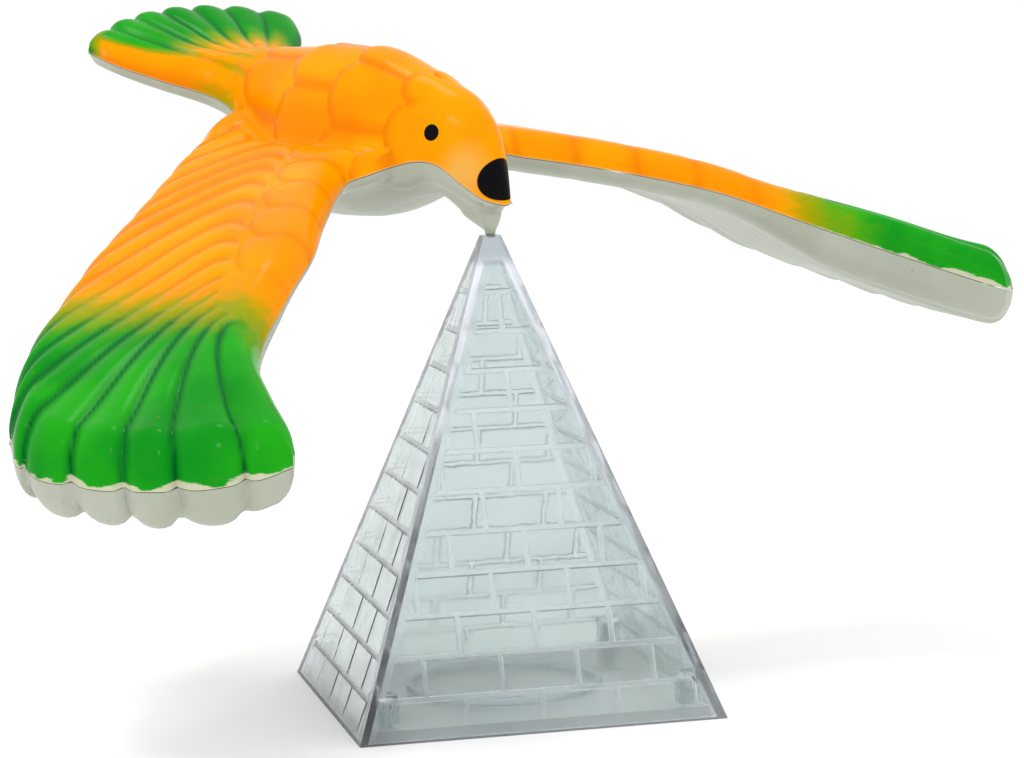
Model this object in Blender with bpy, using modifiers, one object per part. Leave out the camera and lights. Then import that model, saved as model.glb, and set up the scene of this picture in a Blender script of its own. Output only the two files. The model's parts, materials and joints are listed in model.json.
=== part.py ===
"""Balancing bird: a hollow two-shell eagle that stands on its beak on a clear brick pyramid.

Units are metres and +Z is up. The origin is the middle of the pyramid's footprint, on the table.
The bird is laid out in its own frame first: x towards the beak, y to the bird's left, z up,
with the bottom of the rounded beak tip at the origin. An empty then sets it on the pyramid.
"""
import math

import bmesh
import bpy
import numpy as np
from mathutils import Matrix, Vector
from mathutils.kdtree import KDTree

CLEARANCE = 0.0003          # left between pieces that meet, glue line or loose fit

# pyramid
BASE_SIDE = 0.055
PYRAMID_HEIGHT = 0.0705
TOP_FLAT_SIDE = 0.0027
PYRAMID_WALL = 0.0013
SOLID_TIP = 0.0042          # clear plastic above the top of the hollow

# base plate, its pegs and the bosses that take them
PLATE_THICKNESS = 0.0015
BOSS_DIAMETER = 0.0038
BOSS_INSET = 0.0048         # side of the pyramid to the boss's middle
BOSS_TOP = 0.0064           # height above the table
PEG_DIAMETER = 0.0018
PEG_LENGTH = 0.0037
RING_DIAMETER = 0.030
RING_WIDTH = 0.0010
RING_HEIGHT = 0.0009

# bird, overall
WING_SPAN = 0.187
BIRD_LENGTH = 0.110         # tail end to the front of the wing tips
SHOULDER_HEIGHT = 0.0097    # seam at the shoulders, above the beak tip
WING_DROOP = 0.0292         # seam, shoulder to wing tip
SHELL_WALL = 0.0009
LIP_RELIEF = 0.0001         # inner edge of each shell's rim, set back from the seam
HEADING = math.radians(32)  # turned from straight ahead towards the pyramid's right side
LEAN = math.radians(3.8)    # right wing lower at rest

# beak point, a ball in a dimple, with the slices of the lower beak above it
BALL_RADIUS = 0.0009
BALL_SINK = 0.0002          # ball bottom below the pyramid's top
BEAK_TAPER = 0.30           # rise of the beak's radius with height
TIP_REACH = 0.0014          # radius about the ball's middle where the tip slice ends
COLLAR_REACH = 0.0028       # and where the collar slice ends

# wing weights
SLUG_THICKNESS = 0.0058
SLUG_BEVEL = 0.0009
SLUG_SIDES = 48
SLUG_SEAT = 0.006           # reach at which the weight rests on the seam's slope
SLUG_PLACE = (0.160, 0.850)  # share of the length ahead of the beak, share of the half span
STEEL_DENSITY = 7850.0
PLASTIC_DENSITY = 1100.0

# Outline of the left half, each point (share of half span, share of length), shoulder to tip
LEADING_EDGE = [(.102, -.086), (.160, -.111), (.214, -.093), (.321, -.027), (.428, .045),
                (.535, .093), (.631, .136), (.695, .191), (.743, .262), (.781, .325), (.813, .352)]
WING_TIP = [(.813, .352), (.866, .332), (.930, .273), (.973, .195), (1., .100), (.993, .032),
            (.957, -.023)]
TRAILING_EDGE = [(.096, -.418), (.134, -.427), (.200, -.409), (.289, -.364), (.366, -.320),
                 (.508, -.249), (.629, -.199), (.753, -.144), (.856, -.099), (.920, -.055),
                 (.957, -.023)]
# Droop of the seam along the wing: (share of half span out along the sweep, share of the droop)
DROOP_CURVE = [(-.20, -.15), (-.04, -.085), (.13, 0.), (.38, .178), (.524, .311), (.652, .471),
               (.804, .669), (.898, .792), (.995, .915), (1.087, 1.)]
DROOP_SWEEP = 0.5           # how far the droop follows the wing forward

# Body along its length, each point (share of length, metres)
HEAD_FRONT = .037
NECK_ROOT = -.086
TAIL_ROOT = -.418
TAIL_END = -.645
BODY_HALF_WIDTH = [(.037, .0020), (.023, .0034), (.0, .0052), (-.03, .0068), (-.06, .0077),
                   (-.086, .0095), (-.15, .0122), (-.24, .0132), (-.32, .0120), (-.38, .0098),
                   (-.418, .0090), (-.455, .0075), (-.50, .0092), (-.55, .0146), (-.60, .0200),
                   (-.645, .0225)]
BODY_SEAM = [(.037, .0048), (.018, .0059), (-.004, .0084), (-.031, .0113), (-.064, .0120),
             (-.11, .0108), (-.18, .0103), (-.27, .0105), (-.345, .0125), (-.40, .0159),
             (-.436, .0192), (-.51, .0243), (-.58, .0296), (-.645, .0335)]
BODY_RISE = [(.037, .0066), (.024, .0097), (.0, .0111), (-.031, .0106), (-.064, .0117),
             (-.11, .0152), (-.18, .0184), (-.27, .0191), (-.345, .0168), (-.40, .0132),
             (-.436, .0102), (-.51, .0048), (-.58, .0029), (-.645, .0024)]
BELLY_DEPTH = [(.037, .0008), (.024, .0016), (.0, .0040), (-.031, .0062), (-.054, .0054),
               (-.12, .0063), (-.20, .0081), (-.264, .0082), (-.318, .0073), (-.38, .0062),
               (-.436, .0052), (-.51, .0032), (-.645, .0022)]
TAIL_ARCH = .0005           # the fan's middle above its sides, at its end
TAIL_FAN_CURVE = .050       # share of length by which the fan's corners lie ahead of its end
BACK_CROWN = .0050          # wing skin above the seam
BELLY_CROWN = .0028         # wing skin below the seam
TIP_BULGE = .0038           # extra depth under the wing tip, around the weight
TIP_RISE = .0018            # extra height over the wing tip
EDGE_ROUND = .0042          # radius of the shells' rolled edges in plan

COLUMNS_BODY = 8
COLUMNS_WING = 17
ROWS_HEAD = 8
ROWS_WING = 14
ROWS_TAIL = 10

parts = None
cutters = None


# ---------------------------------------------------------------- scene, materials, small helpers

def clear_scene():
    for old in list(bpy.data.objects):
        bpy.data.objects.remove(old, do_unlink=True)


def new_collection(name):
    made = bpy.data.collections.new(name)
    bpy.context.scene.collection.children.link(made)
    return made


def plastic(name, colour, roughness, metallic=0.0, clear=0.0):
    made = bpy.data.materials.new(name)
    made.use_nodes = True
    shader = made.node_tree.nodes["Principled BSDF"]
    shader.inputs["Base Color"].default_value = (*colour, 1.0)
    shader.inputs["Roughness"].default_value = roughness
    shader.inputs["Metallic"].default_value = metallic
    shader.inputs["Transmission Weight"].default_value = clear
    made.diffuse_color = (*colour, 1.0)
    return made


def object_from_bmesh(name, shape, material=None, collection=None):
    bmesh.ops.recalc_face_normals(shape, faces=shape.faces)
    mesh = bpy.data.meshes.new(name)
    shape.to_mesh(mesh)
    shape.free()
    made = bpy.data.objects.new(name, mesh)
    (collection or parts).objects.link(made)
    if material:
        mesh.materials.append(material)
    return made


def centred_cylinder(name, radius, bottom, top, collection):
    shape = bmesh.new()
    bmesh.ops.create_cone(shape, cap_ends=True, segments=64, radius1=radius, radius2=radius,
                          depth=top - bottom)
    bmesh.ops.translate(shape, verts=shape.verts, vec=(0, 0, (top + bottom) / 2))
    return object_from_bmesh(name, shape, None, collection)


def boolean(target, cutter, operation):
    """Leave the cutter in the scene, hidden, and tie it to the target with a Boolean."""
    cutter.hide_render = True
    cutter.display_type = "WIRE"
    step = target.modifiers.new(f"{operation.lower()}_{cutter.name}", "BOOLEAN")
    step.operation = operation
    step.solver = "EXACT"
    step.object = cutter


def smooth_path(points, samples=400):
    """Catmull-Rom curve through the points, as a function of the share of its length."""
    given = np.array(points, dtype=float)
    before = 2 * given[0] - given[1]
    after = 2 * given[-1] - given[-2]
    knots = np.vstack([before, given, after])
    dense = []
    for p0, p1, p2, p3 in zip(knots, knots[1:], knots[2:], knots[3:]):
        for s in np.linspace(0, 1, samples // len(points), endpoint=False):
            dense.append(0.5 * (2 * p1 + (p2 - p0) * s + (2 * p0 - 5 * p1 + 4 * p2 - p3) * s ** 2
                                + (3 * p1 - p0 - 3 * p2 + p3) * s ** 3))
    dense.append(given[-1])
    dense = np.array(dense)
    steps = np.linalg.norm(np.diff(dense, axis=0), axis=1)
    share = np.concatenate([[0.0], np.cumsum(steps)]) / steps.sum()

    def at(s):
        return np.array([np.interp(s, share, dense[:, k]) for k in range(dense.shape[1])])
    return at


def smooth_table(points):
    """Smooth y(x) through the points, with slopes limited so that it never overshoots."""
    given = np.array(sorted(points), dtype=float)
    x, y = given[:, 0], given[:, 1]
    slope = np.diff(y) / np.diff(x)
    tangent = np.concatenate([[slope[0]], (slope[:-1] + slope[1:]) / 2, [slope[-1]]])
    for k in range(1, len(x) - 1):
        if slope[k - 1] * slope[k] <= 0:
            tangent[k] = 0.0
        else:
            limit = 3 * min(abs(slope[k - 1]), abs(slope[k]))
            tangent[k] = math.copysign(min(abs(tangent[k]), limit), tangent[k])

    def at(value):
        value = min(max(value, x[0]), x[-1])
        k = int(min(np.searchsorted(x, value, side="right") - 1, len(x) - 2))
        width = x[k + 1] - x[k]
        s = (value - x[k]) / width
        return float(y[k] * (1 + 2 * s) * (1 - s) ** 2 + tangent[k] * width * s * (1 - s) ** 2
                     + y[k + 1] * s * s * (3 - 2 * s) - tangent[k + 1] * width * s * s * (1 - s))
    return at


def ease(value, start, end):
    s = min(max((value - start) / (end - start), 0.0), 1.0)
    return s * s * (3 - 2 * s)


def quarter_round(share):
    """Height of a quarter ellipse, 0 at the rim and 1 from its radius inwards."""
    return math.sqrt(max(0.0, 1 - (1 - min(share, 1.0)) ** 2))


def soft_max(a, b, blend):
    return (a + b + math.sqrt((a - b) ** 2 + blend ** 2) - blend) / 2


# ---------------------------------------------------------------- the bird's shape

leading_edge = smooth_path(LEADING_EDGE)
wing_tip = smooth_path(WING_TIP)
trailing_edge = smooth_path(TRAILING_EDGE)
droop_curve = smooth_table(DROOP_CURVE)
body_half_width = smooth_table(BODY_HALF_WIDTH)
body_seam = smooth_table(BODY_SEAM)
body_rise = smooth_table(BODY_RISE)
belly_depth = smooth_table(BELLY_DEPTH)


def plan_point(column, row):
    """Grid place to plan place (x, y). Columns -1..1 are the body and 1..2 the left wing;
    rows 0..1 are the head, 1..2 the wings' chord and 2..3 the tail."""
    side = math.copysign(1.0, column)
    across = min(abs(column), 1.0)
    along_wing = max(abs(column) - 1.0, 0.0)
    if row < 1:
        front = HEAD_FRONT - 0.011 * across ** 2
        length_share = front + (NECK_ROOT - front) * row
        table_share = HEAD_FRONT + (NECK_ROOT - HEAD_FRONT) * row
    elif row > 2:
        end = TAIL_END + TAIL_FAN_CURVE * across ** 2
        length_share = TAIL_ROOT + (end - TAIL_ROOT) * (row - 2)
        table_share = TAIL_ROOT + (TAIL_END - TAIL_ROOT) * (row - 2)
    else:
        length_share = NECK_ROOT + (TAIL_ROOT - NECK_ROOT) * (row - 1)
        table_share = length_share
    if along_wing == 0:
        return length_share * BIRD_LENGTH, side * across * body_half_width(table_share)
    chord = row - 1
    front = leading_edge(along_wing)
    back = trailing_edge(along_wing)
    bend = wing_tip(chord) - (wing_tip(0) * (1 - chord) + wing_tip(1) * chord)
    span_share, length_share = front * (1 - chord) + back * chord + bend * along_wing ** 2.5
    root = np.array([body_half_width(table_share), table_share * BIRD_LENGTH])
    wing = np.array([span_share * WING_SPAN / 2, length_share * BIRD_LENGTH])
    joined = ease(along_wing, 0.0, 0.12)
    y, x = root * (1 - joined) + wing * joined + (1 - joined) * np.array(
        [along_wing * WING_SPAN / 2, 0.0])
    return x, side * y


def seam_height(x, y):
    """The seam between the shells, as a surface over the plan."""
    length_share = x / BIRD_LENGTH
    span_share = abs(y) / (WING_SPAN / 2)
    swept_share = (abs(y) + DROOP_SWEEP * x) / (WING_SPAN / 2)
    body = body_seam(length_share)
    fan = ease(-length_share, -TAIL_ROOT, -TAIL_END)
    width = body_half_width(length_share)
    body += TAIL_ARCH * fan * max(0.0, 1 - (y / width) ** 2)
    wing = SHOULDER_HEIGHT - WING_DROOP * droop_curve(swept_share)
    out = ease(span_share, .09, .21) * (1 - ease(-length_share, -TAIL_ROOT + .03, -TAIL_ROOT + .08))
    return body * (1 - out) + wing * out


def skin_offset(column, row, x, edge_distance, above):
    """Height of a shell's outer skin above or below the seam."""
    across = min(abs(column), 1.0)
    along_wing = max(abs(column) - 1.0, 0.0)
    length_share = x / BIRD_LENGTH
    fan = ease(-length_share, -TAIL_ROOT + .02, -TAIL_END - .04)
    power = 2 + 6 * fan
    body = (body_rise if above else belly_depth)(length_share)
    body *= math.sqrt(max(0.0, 1 - across ** power))
    if row < 1:
        body *= quarter_round(row * 5)
    if row > 2:
        body *= quarter_round((3 - row) * 9)
    if above:
        crown = BACK_CROWN + TIP_RISE * ease(along_wing, .55, .85)
    else:
        crown = BELLY_CROWN + TIP_BULGE * ease(along_wing, .48, .76)
    if row < 1 or row > 2:
        crown = min(crown, (body_rise if above else belly_depth)(length_share))
    wing = crown * quarter_round(edge_distance / EDGE_ROUND)
    return soft_max(body, wing, 0.0012 * quarter_round(edge_distance / EDGE_ROUND))


def grid_values(start, count, end_dense, begin_dense):
    """count + 1 values from start to start + 1, packed closer at the dense ends."""
    values = []
    for k in range(count + 1):
        s = k / count
        if begin_dense and end_dense:
            s = (1 - math.cos(math.pi * s)) / 2
        elif end_dense:
            s = math.sin(math.pi / 2 * s)
        elif begin_dense:
            s = 1 - math.cos(math.pi / 2 * s)
        values.append(start + s)
    return values


def bird_grid():
    """Column and row values of the cross-shaped grid that both shells share."""
    wing = [1 + v ** 0.9 for v in grid_values(0, COLUMNS_WING, True, False)]
    body = grid_values(0, COLUMNS_BODY, True, False)
    half = body + wing[1:]
    columns = [-v for v in half[:0:-1]] + half
    rows = grid_values(0, ROWS_HEAD, False, True) + grid_values(1, ROWS_WING, True, True)[1:]
    rows += grid_values(2, ROWS_TAIL, True, False)[1:]
    return columns, rows


def outline_tree():
    """Points all along the plan's rim, to measure distances from it."""
    rim = []
    for step in np.linspace(0, 1, 200):
        for side in (-1, 1):
            rim.append(plan_point(side * (1 + step), 1.0))
            rim.append(plan_point(side * (1 + step), 2.0))
            rim.append(plan_point(side * 2.0, 1 + step))
            rim.append(plan_point(side * 1.0, step))
            rim.append(plan_point(side * 1.0, 2 + step))
            rim.append(plan_point(side * step, 0.0))
            rim.append(plan_point(side * step, 3.0))
    tree = KDTree(len(rim))
    for number, (x, y) in enumerate(rim):
        tree.insert((x, y, 0), number)
    tree.balance()
    return tree


def bird_shell(name, above, material):
    """One moulded half: a grid drawn out to the plan, raised to the skin and given its wall."""
    columns, rows = bird_grid()
    rim = outline_tree()
    shape = bmesh.new()
    bmesh.ops.create_grid(shape, x_segments=len(columns) - 1, y_segments=len(rows) - 1, size=1)
    cut = []
    place = {}
    for vert in shape.verts:
        i = round((vert.co.x + 1) / 2 * (len(columns) - 1))
        j = round((vert.co.y + 1) / 2 * (len(rows) - 1))
        place[vert] = (columns[i], rows[j])
        if abs(columns[i]) > 1 and (rows[j] < 1 or rows[j] > 2):
            cut.append(vert)
    keep = [(v, *place[v]) for v in shape.verts if v not in set(cut)]
    sign = 1 if above else -1
    for vert, column, row in keep:
        x, y = plan_point(column, row)
        edge = (Vector((x, y, 0)) - rim.find((x, y, 0))[0]).length
        if edge < 2e-4:
            edge = 0.0
        offset = skin_offset(column, row, x, edge, above)
        vert.co = (x, y, seam_height(x, y) + sign * (CLEARANCE / 2 + offset))
    bmesh.ops.delete(shape, geom=cut, context="VERTS")
    bmesh.ops.recalc_face_normals(shape, faces=shape.faces)
    up = sum(f.normal.z for f in shape.faces)
    if up * sign < 0:
        bmesh.ops.reverse_faces(shape, faces=shape.faces)
    shape.verts.ensure_lookup_table()
    outer = set(shape.verts)
    bmesh.ops.solidify(shape, geom=shape.faces[:], thickness=SHELL_WALL)
    for vert in set(shape.verts) - outer:
        lip = seam_height(vert.co.x, vert.co.y) + sign * (CLEARANCE / 2 + LIP_RELIEF)
        if (vert.co.z - lip) * sign < 0:
            vert.co.z = lip
    return object_from_bmesh(name, shape, material)


# ---------------------------------------------------------------- beak slices

def beak_radius(height):
    """Radius of the lower beak at a height above the ball's middle."""
    return BALL_RADIUS + BEAK_TAPER * max(height, 0.0)


def reach_height(reach):
    """Height at which the beak's side meets a sphere about the ball's middle."""
    a = 1 + BEAK_TAPER ** 2
    b = 2 * BEAK_TAPER * BALL_RADIUS
    c = BALL_RADIUS ** 2 - reach ** 2
    return (-b + math.sqrt(b * b - 4 * a * c)) / (2 * a)


def arc_to_axis(reach, height, from_top):
    """Points of a sphere's profile between the axis and the height, below the axis point."""
    end = math.acos(height / reach)
    angles = [end * k / 5 for k in range(6)]
    points = [(reach * math.sin(a), reach * math.cos(a)) for a in angles]
    return points if from_top else points[::-1]


def turned(name, profile, material):
    """Solid of revolution about Z from (radius, height) points that start and end on the axis."""
    mesh = bpy.data.meshes.new(name)
    verts = [(r, 0.0, z) for r, z in profile]
    mesh.from_pydata(verts, [(k, k + 1) for k in range(len(verts) - 1)], [])
    made = bpy.data.objects.new(name, mesh)
    parts.objects.link(made)
    mesh.materials.append(material)
    screw = made.modifiers.new("turn", "SCREW")
    screw.steps = 24
    screw.render_steps = 24
    screw.use_merge_vertices = True
    screw.merge_threshold = 1e-5
    screw.use_normal_calculate = True
    return made


def beak_tip(material):
    ball = [(BALL_RADIUS * math.sin(a), -BALL_RADIUS * math.cos(a))
            for a in np.linspace(0, math.pi / 2, 7)]
    side = reach_height(TIP_REACH)
    return turned("beak_tip", ball + arc_to_axis(TIP_REACH, side, False), material)


def beak_collar(material):
    inner = TIP_REACH + CLEARANCE
    lower = arc_to_axis(inner, reach_height(inner), True)
    upper = arc_to_axis(COLLAR_REACH, reach_height(COLLAR_REACH), False)
    return turned("beak_collar", lower + upper, material)


# ---------------------------------------------------------------- balance and the wing weights

def volume_and_middle(shape_object):
    """Enclosed volume and its centroid, in the object's own frame."""
    graph = bpy.context.evaluated_depsgraph_get()
    mesh = shape_object.evaluated_get(graph).to_mesh()
    shape = bmesh.new()
    shape.from_mesh(mesh)
    bmesh.ops.triangulate(shape, faces=shape.faces)
    volume = 0.0
    moment = Vector((0, 0, 0))
    for face in shape.faces:
        a, b, c = (v.co for v in face.verts)
        piece = a.dot(b.cross(c)) / 6
        volume += piece
        moment += piece * (a + b + c) / 4
    shape.free()
    return volume, moment / volume


def slug_masses(shells, places, lean):
    """Masses that put the bird's centre of mass straight under its beak, at its lean."""
    tilt = lean.to_3x3()
    need = np.zeros(2)
    for shell in shells:
        volume, middle = volume_and_middle(shell)
        level = tilt @ (middle - Vector((0, 0, BALL_RADIUS)))
        need -= volume * PLASTIC_DENSITY * np.array([level.x, level.y])
    arms = []
    for place in places:
        level = tilt @ (Vector(place) - Vector((0, 0, BALL_RADIUS)))
        arms.append([level.x, level.y])
    return np.linalg.solve(np.array(arms).T, need)


def slug_place(side):
    """Middle of the room between the two skins at the weight."""
    x = SLUG_PLACE[0] * BIRD_LENGTH
    y = side * SLUG_PLACE[1] * WING_SPAN / 2
    around = [(x + SLUG_SEAT, y), (x - SLUG_SEAT, y), (x, y + SLUG_SEAT), (x, y - SLUG_SEAT)]
    seam = sum(seam_height(*place) for place in around) / len(around)
    return Vector((x, y, seam - (BELLY_CROWN + TIP_BULGE - BACK_CROWN) / 2))


def slug_turn(side):
    """Rotation that lays the weight along the seam."""
    x, y, _ = slug_place(side)
    ahead = seam_height(x + SLUG_SEAT, y) - seam_height(x - SLUG_SEAT, y)
    across = seam_height(x, y + SLUG_SEAT) - seam_height(x, y - SLUG_SEAT)
    upright = Vector((-ahead, -across, 2 * SLUG_SEAT))
    return upright.to_track_quat("Z", "Y").to_matrix().to_4x4()


def slug_radius(mass):
    """Radius of a bevelled disc of the given mass: thickness r^2 - 2 bevel^2 r + 2/3 bevel^3."""
    facets = SLUG_SIDES / 2 * math.sin(2 * math.pi / SLUG_SIDES)
    area = mass / (STEEL_DENSITY * facets)
    a = SLUG_THICKNESS
    b = -2 * SLUG_BEVEL ** 2
    c = 2 / 3 * SLUG_BEVEL ** 3 - area
    return (-b + math.sqrt(b * b - 4 * a * c)) / (2 * a)


def wing_weight(name, side, mass, material):
    radius = slug_radius(mass)
    shape = bmesh.new()
    bmesh.ops.create_cone(shape, cap_ends=True, segments=SLUG_SIDES, radius1=radius,
                          radius2=radius, depth=SLUG_THICKNESS)
    rims = [e for e in shape.edges if abs(e.verts[0].co.z - e.verts[1].co.z) < SLUG_BEVEL]
    bmesh.ops.bevel(shape, geom=rims, offset=SLUG_BEVEL, affect="EDGES", segments=1, profile=0.5)
    bmesh.ops.transform(shape, matrix=Matrix.Translation(slug_place(side)) @ slug_turn(side),
                        verts=shape.verts)
    return object_from_bmesh(name, shape, material)


# ---------------------------------------------------------------- pyramid and base plate

def frustum(name, half_low, half_high, low, high, collection):
    """Square frustum, sides along X and Y."""
    shape = bmesh.new()
    bmesh.ops.create_cone(shape, cap_ends=True, segments=4, radius1=half_low * math.sqrt(2),
                          radius2=half_high * math.sqrt(2), depth=high - low)
    bmesh.ops.rotate(shape, verts=shape.verts, matrix=Matrix.Rotation(math.pi / 4, 3, "Z"))
    bmesh.ops.translate(shape, verts=shape.verts, vec=(0, 0, (low + high) / 2))
    return object_from_bmesh(name, shape, None, collection)


SIDE_SLOPE = (BASE_SIDE - TOP_FLAT_SIDE) / 2 / PYRAMID_HEIGHT
WALL_ACROSS = PYRAMID_WALL * math.sqrt(1 + SIDE_SLOPE ** 2)


def outer_half(height):
    return BASE_SIDE / 2 - SIDE_SLOPE * height


def inner_half(height):
    return outer_half(height) - WALL_ACROSS


def corner_places():
    reach = BASE_SIDE / 2 - BOSS_INSET
    return [(sx * reach, sy * reach) for sx in (-1, 1) for sy in (-1, 1)]


def joined_cylinders(name, radius, bottom, top, collection):
    """The same upright cylinder in all four corners, as one object."""
    shape = bmesh.new()
    for place in corner_places():
        made = bmesh.ops.create_cone(shape, cap_ends=True, segments=24, radius1=radius,
                                     radius2=radius, depth=top - bottom)
        bmesh.ops.translate(shape, verts=made["verts"], vec=(*place, (top + bottom) / 2))
    return object_from_bmesh(name, shape, None, collection)


def pyramid_shell(material):
    shell = frustum("pyramid_shell", outer_half(0), outer_half(PYRAMID_HEIGHT), 0,
                    PYRAMID_HEIGHT, parts)
    shell.data.materials.append(material)
    below = -0.002
    roof = PYRAMID_HEIGHT - SOLID_TIP
    hollow = frustum("pyramid_hollow", inner_half(below), inner_half(roof), below, roof, cutters)
    boss_bottom = PLATE_THICKNESS + CLEARANCE
    bosses = joined_cylinders("peg_bosses", BOSS_DIAMETER / 2, boss_bottom, BOSS_TOP, cutters)
    bore_top = PLATE_THICKNESS + PEG_LENGTH + CLEARANCE
    bores = joined_cylinders("peg_bores", PEG_DIAMETER / 2 + CLEARANCE, boss_bottom - 0.001,
                             bore_top, cutters)
    ball = bmesh.new()
    bmesh.ops.create_uvsphere(ball, u_segments=24, v_segments=16, radius=BALL_RADIUS + CLEARANCE)
    bmesh.ops.translate(ball, verts=ball.verts, vec=(0, 0, pivot_height()))
    dimple = object_from_bmesh("beak_dimple", ball, None, cutters)
    boolean(shell, hollow, "DIFFERENCE")
    boolean(shell, bosses, "UNION")
    boolean(shell, bores, "DIFFERENCE")
    boolean(shell, dimple, "DIFFERENCE")
    return shell


def base_plate(material):
    low = inner_half(0) - CLEARANCE
    high = inner_half(PLATE_THICKNESS) - CLEARANCE
    plate = frustum("base_plate", low, high, 0, PLATE_THICKNESS, parts)
    plate.data.materials.append(material)
    overlap = PLATE_THICKNESS / 2
    pegs = joined_cylinders("pegs", PEG_DIAMETER / 2, overlap, PLATE_THICKNESS + PEG_LENGTH,
                            cutters)
    ring = centred_cylinder("ring_outside", RING_DIAMETER / 2, overlap,
                            PLATE_THICKNESS + RING_HEIGHT, cutters)
    ring_inside = centred_cylinder("ring_inside", RING_DIAMETER / 2 - RING_WIDTH,
                                   PLATE_THICKNESS, PLATE_THICKNESS + 2 * RING_HEIGHT, cutters)
    boolean(plate, pegs, "UNION")
    boolean(plate, ring, "UNION")
    boolean(plate, ring_inside, "DIFFERENCE")
    return plate


def pivot_height():
    """Height of the ball's middle, which is the centre of every motion of the bird."""
    return PYRAMID_HEIGHT - BALL_SINK + BALL_RADIUS


# ---------------------------------------------------------------- assembly

def pivot_empty(name, turn):
    empty = bpy.data.objects.new(name, None)
    parts.objects.link(empty)
    empty.matrix_world = Matrix.Translation((0, 0, pivot_height())) @ turn
    return empty


def hang(shape_object, empty, frame_drop):
    """Parent to the pivot, with the piece's own frame set down by the drop."""
    shape_object.data.transform(Matrix.Translation((0, 0, -frame_drop)))
    shape_object.parent = empty
    shape_object.matrix_parent_inverse = Matrix.Identity(4)


def main():
    global parts, cutters
    clear_scene()
    parts = new_collection("balancing_bird")
    cutters = new_collection("cutters")

    back_paint = plastic("orange_gloss_paint", (0.95, 0.42, 0.02), 0.25)
    belly_white = plastic("white_plastic", (0.72, 0.72, 0.66), 0.4)
    steel = plastic("steel_slug", (0.55, 0.55, 0.56), 0.35, metallic=1.0)
    clear = plastic("clear_plastic", (0.86, 0.93, 0.94), 0.08, clear=1.0)

    pyramid_shell(clear)
    base_plate(clear)

    heading = Matrix.Rotation(HEADING - math.pi / 2, 4, "Z")
    lean = Matrix.Rotation(LEAN, 4, "X")
    spin_pivot = pivot_empty("spin_pivot", heading)
    bird_pivot = pivot_empty("bird_pivot", heading @ lean)

    back = bird_shell("back_shell", True, back_paint)
    belly = bird_shell("belly_shell", False, belly_white)
    masses = slug_masses((back, belly), (slug_place(1), slug_place(-1)), lean)
    left = wing_weight("left_wing_weight", 1, masses[0], steel)
    right = wing_weight("right_wing_weight", -1, masses[1], steel)
    for piece in (back, belly, left, right):
        hang(piece, bird_pivot, BALL_RADIUS)
    hang(beak_tip(belly_white), spin_pivot, 0.0)
    hang(beak_collar(belly_white), spin_pivot, 0.0)


main()
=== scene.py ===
"""Balancing bird on its clear brick pyramid: painted feather relief, moulded plastic and studio.

Everything is in metres. The bird is drawn in its own frame, x towards the beak, y to the bird's
left, z up from the bottom of the beak point, and then set on the pyramid.
"""
import json
import math

import bmesh
import bpy
import numpy as np
from mathutils import Matrix, Vector
from mathutils.kdtree import KDTree


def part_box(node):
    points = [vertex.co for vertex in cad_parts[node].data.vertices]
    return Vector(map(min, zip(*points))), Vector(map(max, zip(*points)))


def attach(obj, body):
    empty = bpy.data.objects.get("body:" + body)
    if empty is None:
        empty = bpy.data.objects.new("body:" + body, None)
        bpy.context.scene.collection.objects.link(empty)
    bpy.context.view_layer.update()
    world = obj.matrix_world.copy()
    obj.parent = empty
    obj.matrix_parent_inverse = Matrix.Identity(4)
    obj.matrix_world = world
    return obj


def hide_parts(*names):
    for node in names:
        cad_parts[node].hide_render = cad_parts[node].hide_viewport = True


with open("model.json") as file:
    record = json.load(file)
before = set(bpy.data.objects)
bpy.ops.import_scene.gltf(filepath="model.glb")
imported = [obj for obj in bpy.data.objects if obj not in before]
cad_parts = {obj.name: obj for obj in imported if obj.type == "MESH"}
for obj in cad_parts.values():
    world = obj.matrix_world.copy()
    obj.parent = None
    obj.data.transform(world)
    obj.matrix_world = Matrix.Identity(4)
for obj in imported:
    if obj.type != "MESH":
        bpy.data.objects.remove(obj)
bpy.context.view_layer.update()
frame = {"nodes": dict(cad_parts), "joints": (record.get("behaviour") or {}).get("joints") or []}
joints = {joint["name"]: joint for joint in frame["joints"]}

MM = 0.001
SEAM_GAP = 0.00010

# ---------------------------------------------------------------- the bird's outline and heights
HALF_SPAN = 0.0935
LENGTH = 0.110
SHOULDER_HEIGHT = 0.0097
WING_DROOP = 0.0292
DROOP_SWEEP = 0.5
SHELL_WALL = 0.0007
LIP_RELIEF = 0.0001            # the inner edge of each wall stays this far back from the seam
ON_RIM = 0.00012               # a place this close to the outline lies on it
SHARP_DEGREES = 62
BALL_RADIUS = 0.0009
LEAN = math.radians(3.8)

# (share of half span, share of length), shoulder to tip
LEADING_EDGE = [(.102, -.086), (.160, -.111), (.214, -.093), (.321, -.027), (.428, .045),
                (.535, .093), (.631, .136), (.695, .191), (.743, .262), (.781, .325), (.813, .352)]
WING_TIP = [(.813, .352), (.866, .332), (.930, .273), (.973, .195), (1., .100), (.993, .032),
            (.957, -.023)]
TRAILING_EDGE = [(.096, -.418), (.134, -.427), (.200, -.409), (.289, -.364), (.366, -.320),
                 (.508, -.249), (.629, -.199), (.753, -.144), (.856, -.099), (.920, -.055),
                 (.957, -.023)]
# (share of half span out along the sweep, share of the droop)
DROOP_CURVE = [(-.20, -.15), (-.04, -.085), (.13, 0.), (.38, .178), (.524, .311), (.652, .471),
               (.804, .669), (.898, .792), (.995, .915), (1.087, 1.)]
HEAD_FRONT = .037
NECK_ROOT = -.086
TAIL_ROOT = -.418
TAIL_END = -.645
TAIL_FAN_CURVE = .050
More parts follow.
